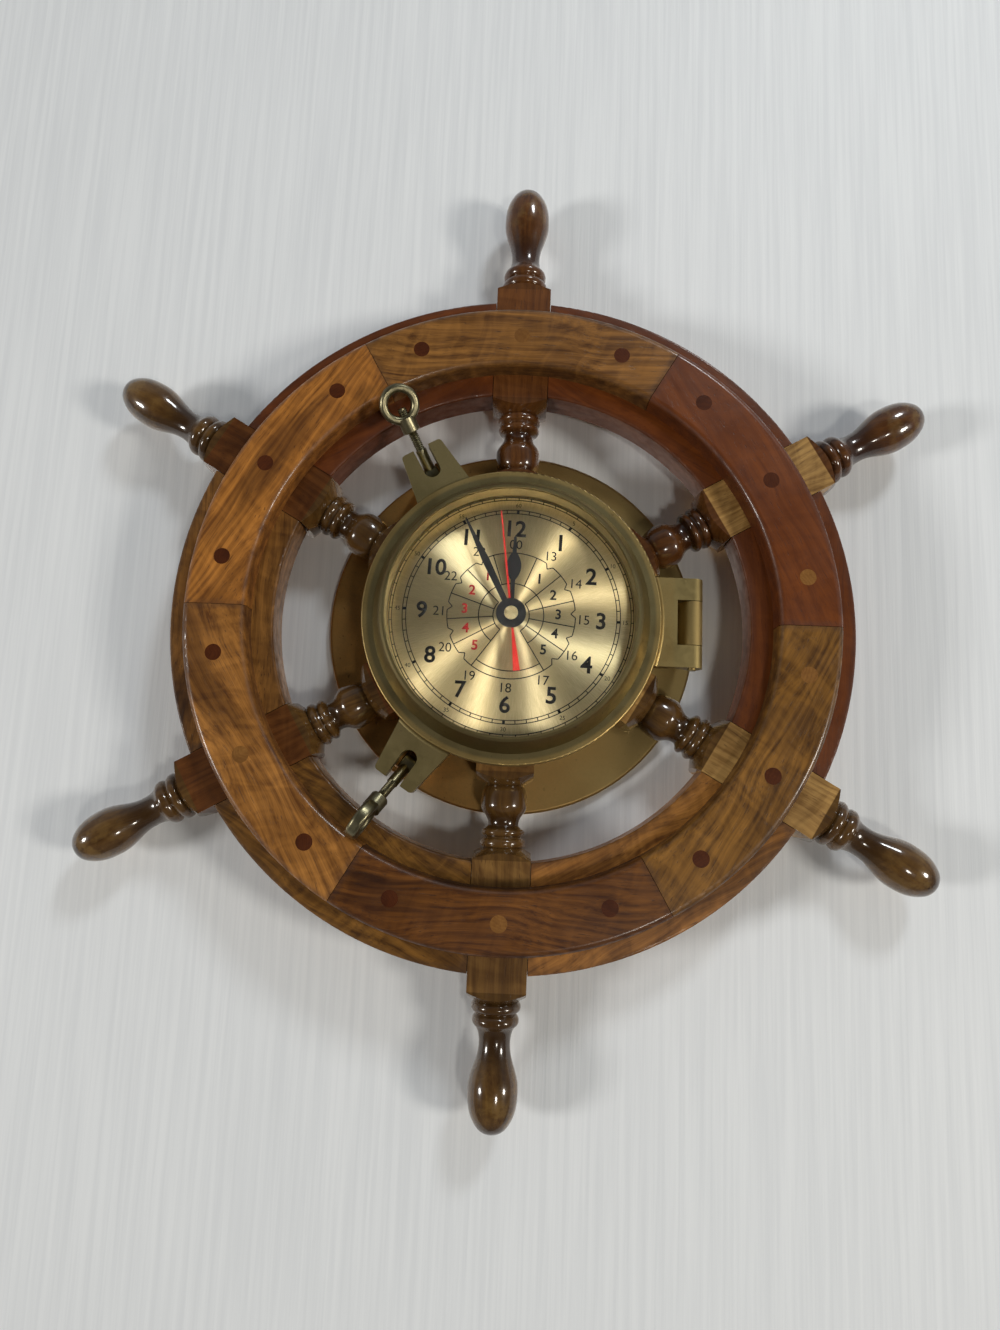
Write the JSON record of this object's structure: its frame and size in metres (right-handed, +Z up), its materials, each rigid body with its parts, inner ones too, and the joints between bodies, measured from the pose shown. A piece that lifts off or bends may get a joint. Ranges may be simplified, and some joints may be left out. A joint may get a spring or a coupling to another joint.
{
  "type": "ship's wheel wall clock",
  "caption": "Wall clock in a brass porthole case with a hinged glazed bezel and swing bolts, set in the hub of a turned wooden ship's wheel.",
  "frame": {"origin": "on the wheel's axis, in the plane of the wall behind it", "axes": "+Z up, -Y toward the viewer, +X to the viewer's right"},
  "size_m": [0.5318, 0.0745, 0.61],
  "materials": {
    "facing_wood_1": "glossy golden brown varnish",
    "facing_wood_2": "glossy dark reddish brown varnish",
    "facing_wood_3": "glossy golden olive varnish",
    "facing_wood_4": "glossy dark reddish brown varnish",
    "facing_wood_5": "glossy golden brown varnish",
    "facing_wood_6": "glossy orange gold varnish",
    "felloe_wood": "glossy red brown varnish",
    "spoke_wood": "turned, glossy dark walnut varnish",
    "back_wood": "satin brown varnish",
    "plug_wood_dark": "end grain, varnished",
    "plug_wood_light": "end grain, varnished",
    "aged_brass": "aged olive brass, lightly speckled",
    "bright_brass": "polished",
    "dial_gold": "sunray brushed gold with printed scales",
    "steel": "zinc plated",
    "hand_black": "satin black",
    "hand_red": "satin red",
    "movement_plastic": "matte black",
    "wheel_plastic": "natural moulded",
    "clear_glass": "clear",
    "black_rubber": "matte",
    "coil_copper": "enamelled wire",
    "board_green": "solder mask",
    "cell_jacket": "printed film, left plain"
  },
  "bodies": {
    "wheel_and_case": {"rim_facing_1": "facing_wood_1", "felloe_1": "felloe_wood", "spoke_1": "spoke_wood", "rim_facing_2": "facing_wood_2", "felloe_2": "felloe_wood", "spoke_2": "spoke_wood", "rim_facing_3": "facing_wood_3", "felloe_3": "felloe_wood", "spoke_3": "spoke_wood", "rim_facing_4": "facing_wood_4", "felloe_4": "felloe_wood", "spoke_4": "spoke_wood", "rim_facing_5": "facing_wood_5", "felloe_5": "felloe_wood", "spoke_5": "spoke_wood", "rim_facing_6": "facing_wood_6", "felloe_6": "felloe_wood", "spoke_6": "spoke_wood", "back_ring_pieces": "back_wood", "rim_plugs_dark": "plug_wood_dark", "rim_plugs_light": "plug_wood_light", "rim_screws": "steel", "back_ring_screws": "steel", "spoke_screws": "steel", "hanger_plate": "steel", "hanger_screws": "steel", "case_body": "aged_brass", "bezel_gasket": "black_rubber", "hinge_pin": "aged_brass", "dog_pivot_pins": "aged_brass", "dial_spacer": "back_wood", "spacer_screws": "steel", "dial_plate": "dial_gold", "movement_case": "movement_plastic", "movement_cover": "movement_plastic", "bush_nut": "bright_brass", "coil": "coil_copper", "circuit_board": "board_green", "battery_contacts": "steel", "battery": "cell_jacket"},
    "bezel": {"bezel": "aged_brass", "upper_bezel_lug": "aged_brass", "lower_bezel_lug": "aged_brass", "glass_retainer": "bright_brass", "glass": "clear_glass"},
    "upper_bolt": {"upper_swing_bolt": "aged_brass"},
    "lower_bolt": {"lower_swing_bolt": "aged_brass"},
    "upper_nut": {"upper_eye_nut": "aged_brass"},
    "lower_nut": {"lower_eye_nut": "aged_brass"},
    "minute": {"minute_hand": "hand_black", "minute_arbor": "bright_brass"},
    "hour": {"hour_hand": "hand_black", "hour_wheel": "wheel_plastic"},
    "setting": {"motion_wheel": "wheel_plastic", "setting_knob": "movement_plastic"},
    "second": {"second_hand": "hand_red", "hub_disc": "hand_black", "hub_cap": "bright_brass", "seconds_arbor": "wheel_plastic"}
  },
  "joints": [
    {"name": "bezel_hinge", "type": "hinge", "parent": "wheel_and_case", "child": "bezel", "pos_m": [0.111, -0.0458, 0], "axis": [0, 0, 1], "range_deg": [0, 115]},
    {"name": "upper_bolt_pivot", "type": "hinge", "parent": "wheel_and_case", "child": "upper_bolt", "pos_m": [-0.054, -0.035, 0.09353], "axis": [0.866, 0, 0.5], "range_deg": [0, 56.83]},
    {"name": "lower_bolt_pivot", "type": "hinge", "parent": "wheel_and_case", "child": "lower_bolt", "pos_m": [-0.05882, -0.035, -0.09058], "axis": [-0.8387, 0, 0.5446], "range_deg": [0, 56.83]},
    {"name": "upper_nut_turn", "type": "hinge", "parent": "upper_bolt", "child": "upper_nut", "pos_m": [-0.054, -0.035, 0.09353], "axis": [-0.4185, -0.5472, 0.7249], "continuous": true},
    {"name": "lower_nut_turn", "type": "hinge", "parent": "lower_bolt", "child": "lower_nut", "pos_m": [-0.05882, -0.035, -0.09058], "axis": [-0.4559, -0.5472, -0.702], "continuous": true},
    {"name": "minute_turn", "type": "hinge", "parent": "wheel_and_case", "child": "minute", "pos_m": [0, 0, 0], "axis": [0, 1, 0], "continuous": true},
    {"name": "hour_turn", "type": "hinge", "parent": "wheel_and_case", "child": "hour", "pos_m": [0, 0, 0], "axis": [0, 1, 0], "continuous": true},
    {"name": "setting_turn", "type": "hinge", "parent": "wheel_and_case", "child": "setting", "pos_m": [0, 0, 0.01], "axis": [0, 1, 0], "continuous": true},
    {"name": "second_turn", "type": "hinge", "parent": "wheel_and_case", "child": "second", "pos_m": [0, 0, 0], "axis": [0, 1, 0], "continuous": true}
  ],
  "couplings": [
    {"joint": "hour_turn", "follows": "minute_turn", "ratio": 0.083333},
    {"joint": "setting_turn", "follows": "minute_turn", "ratio": -0.33333}
  ]
}
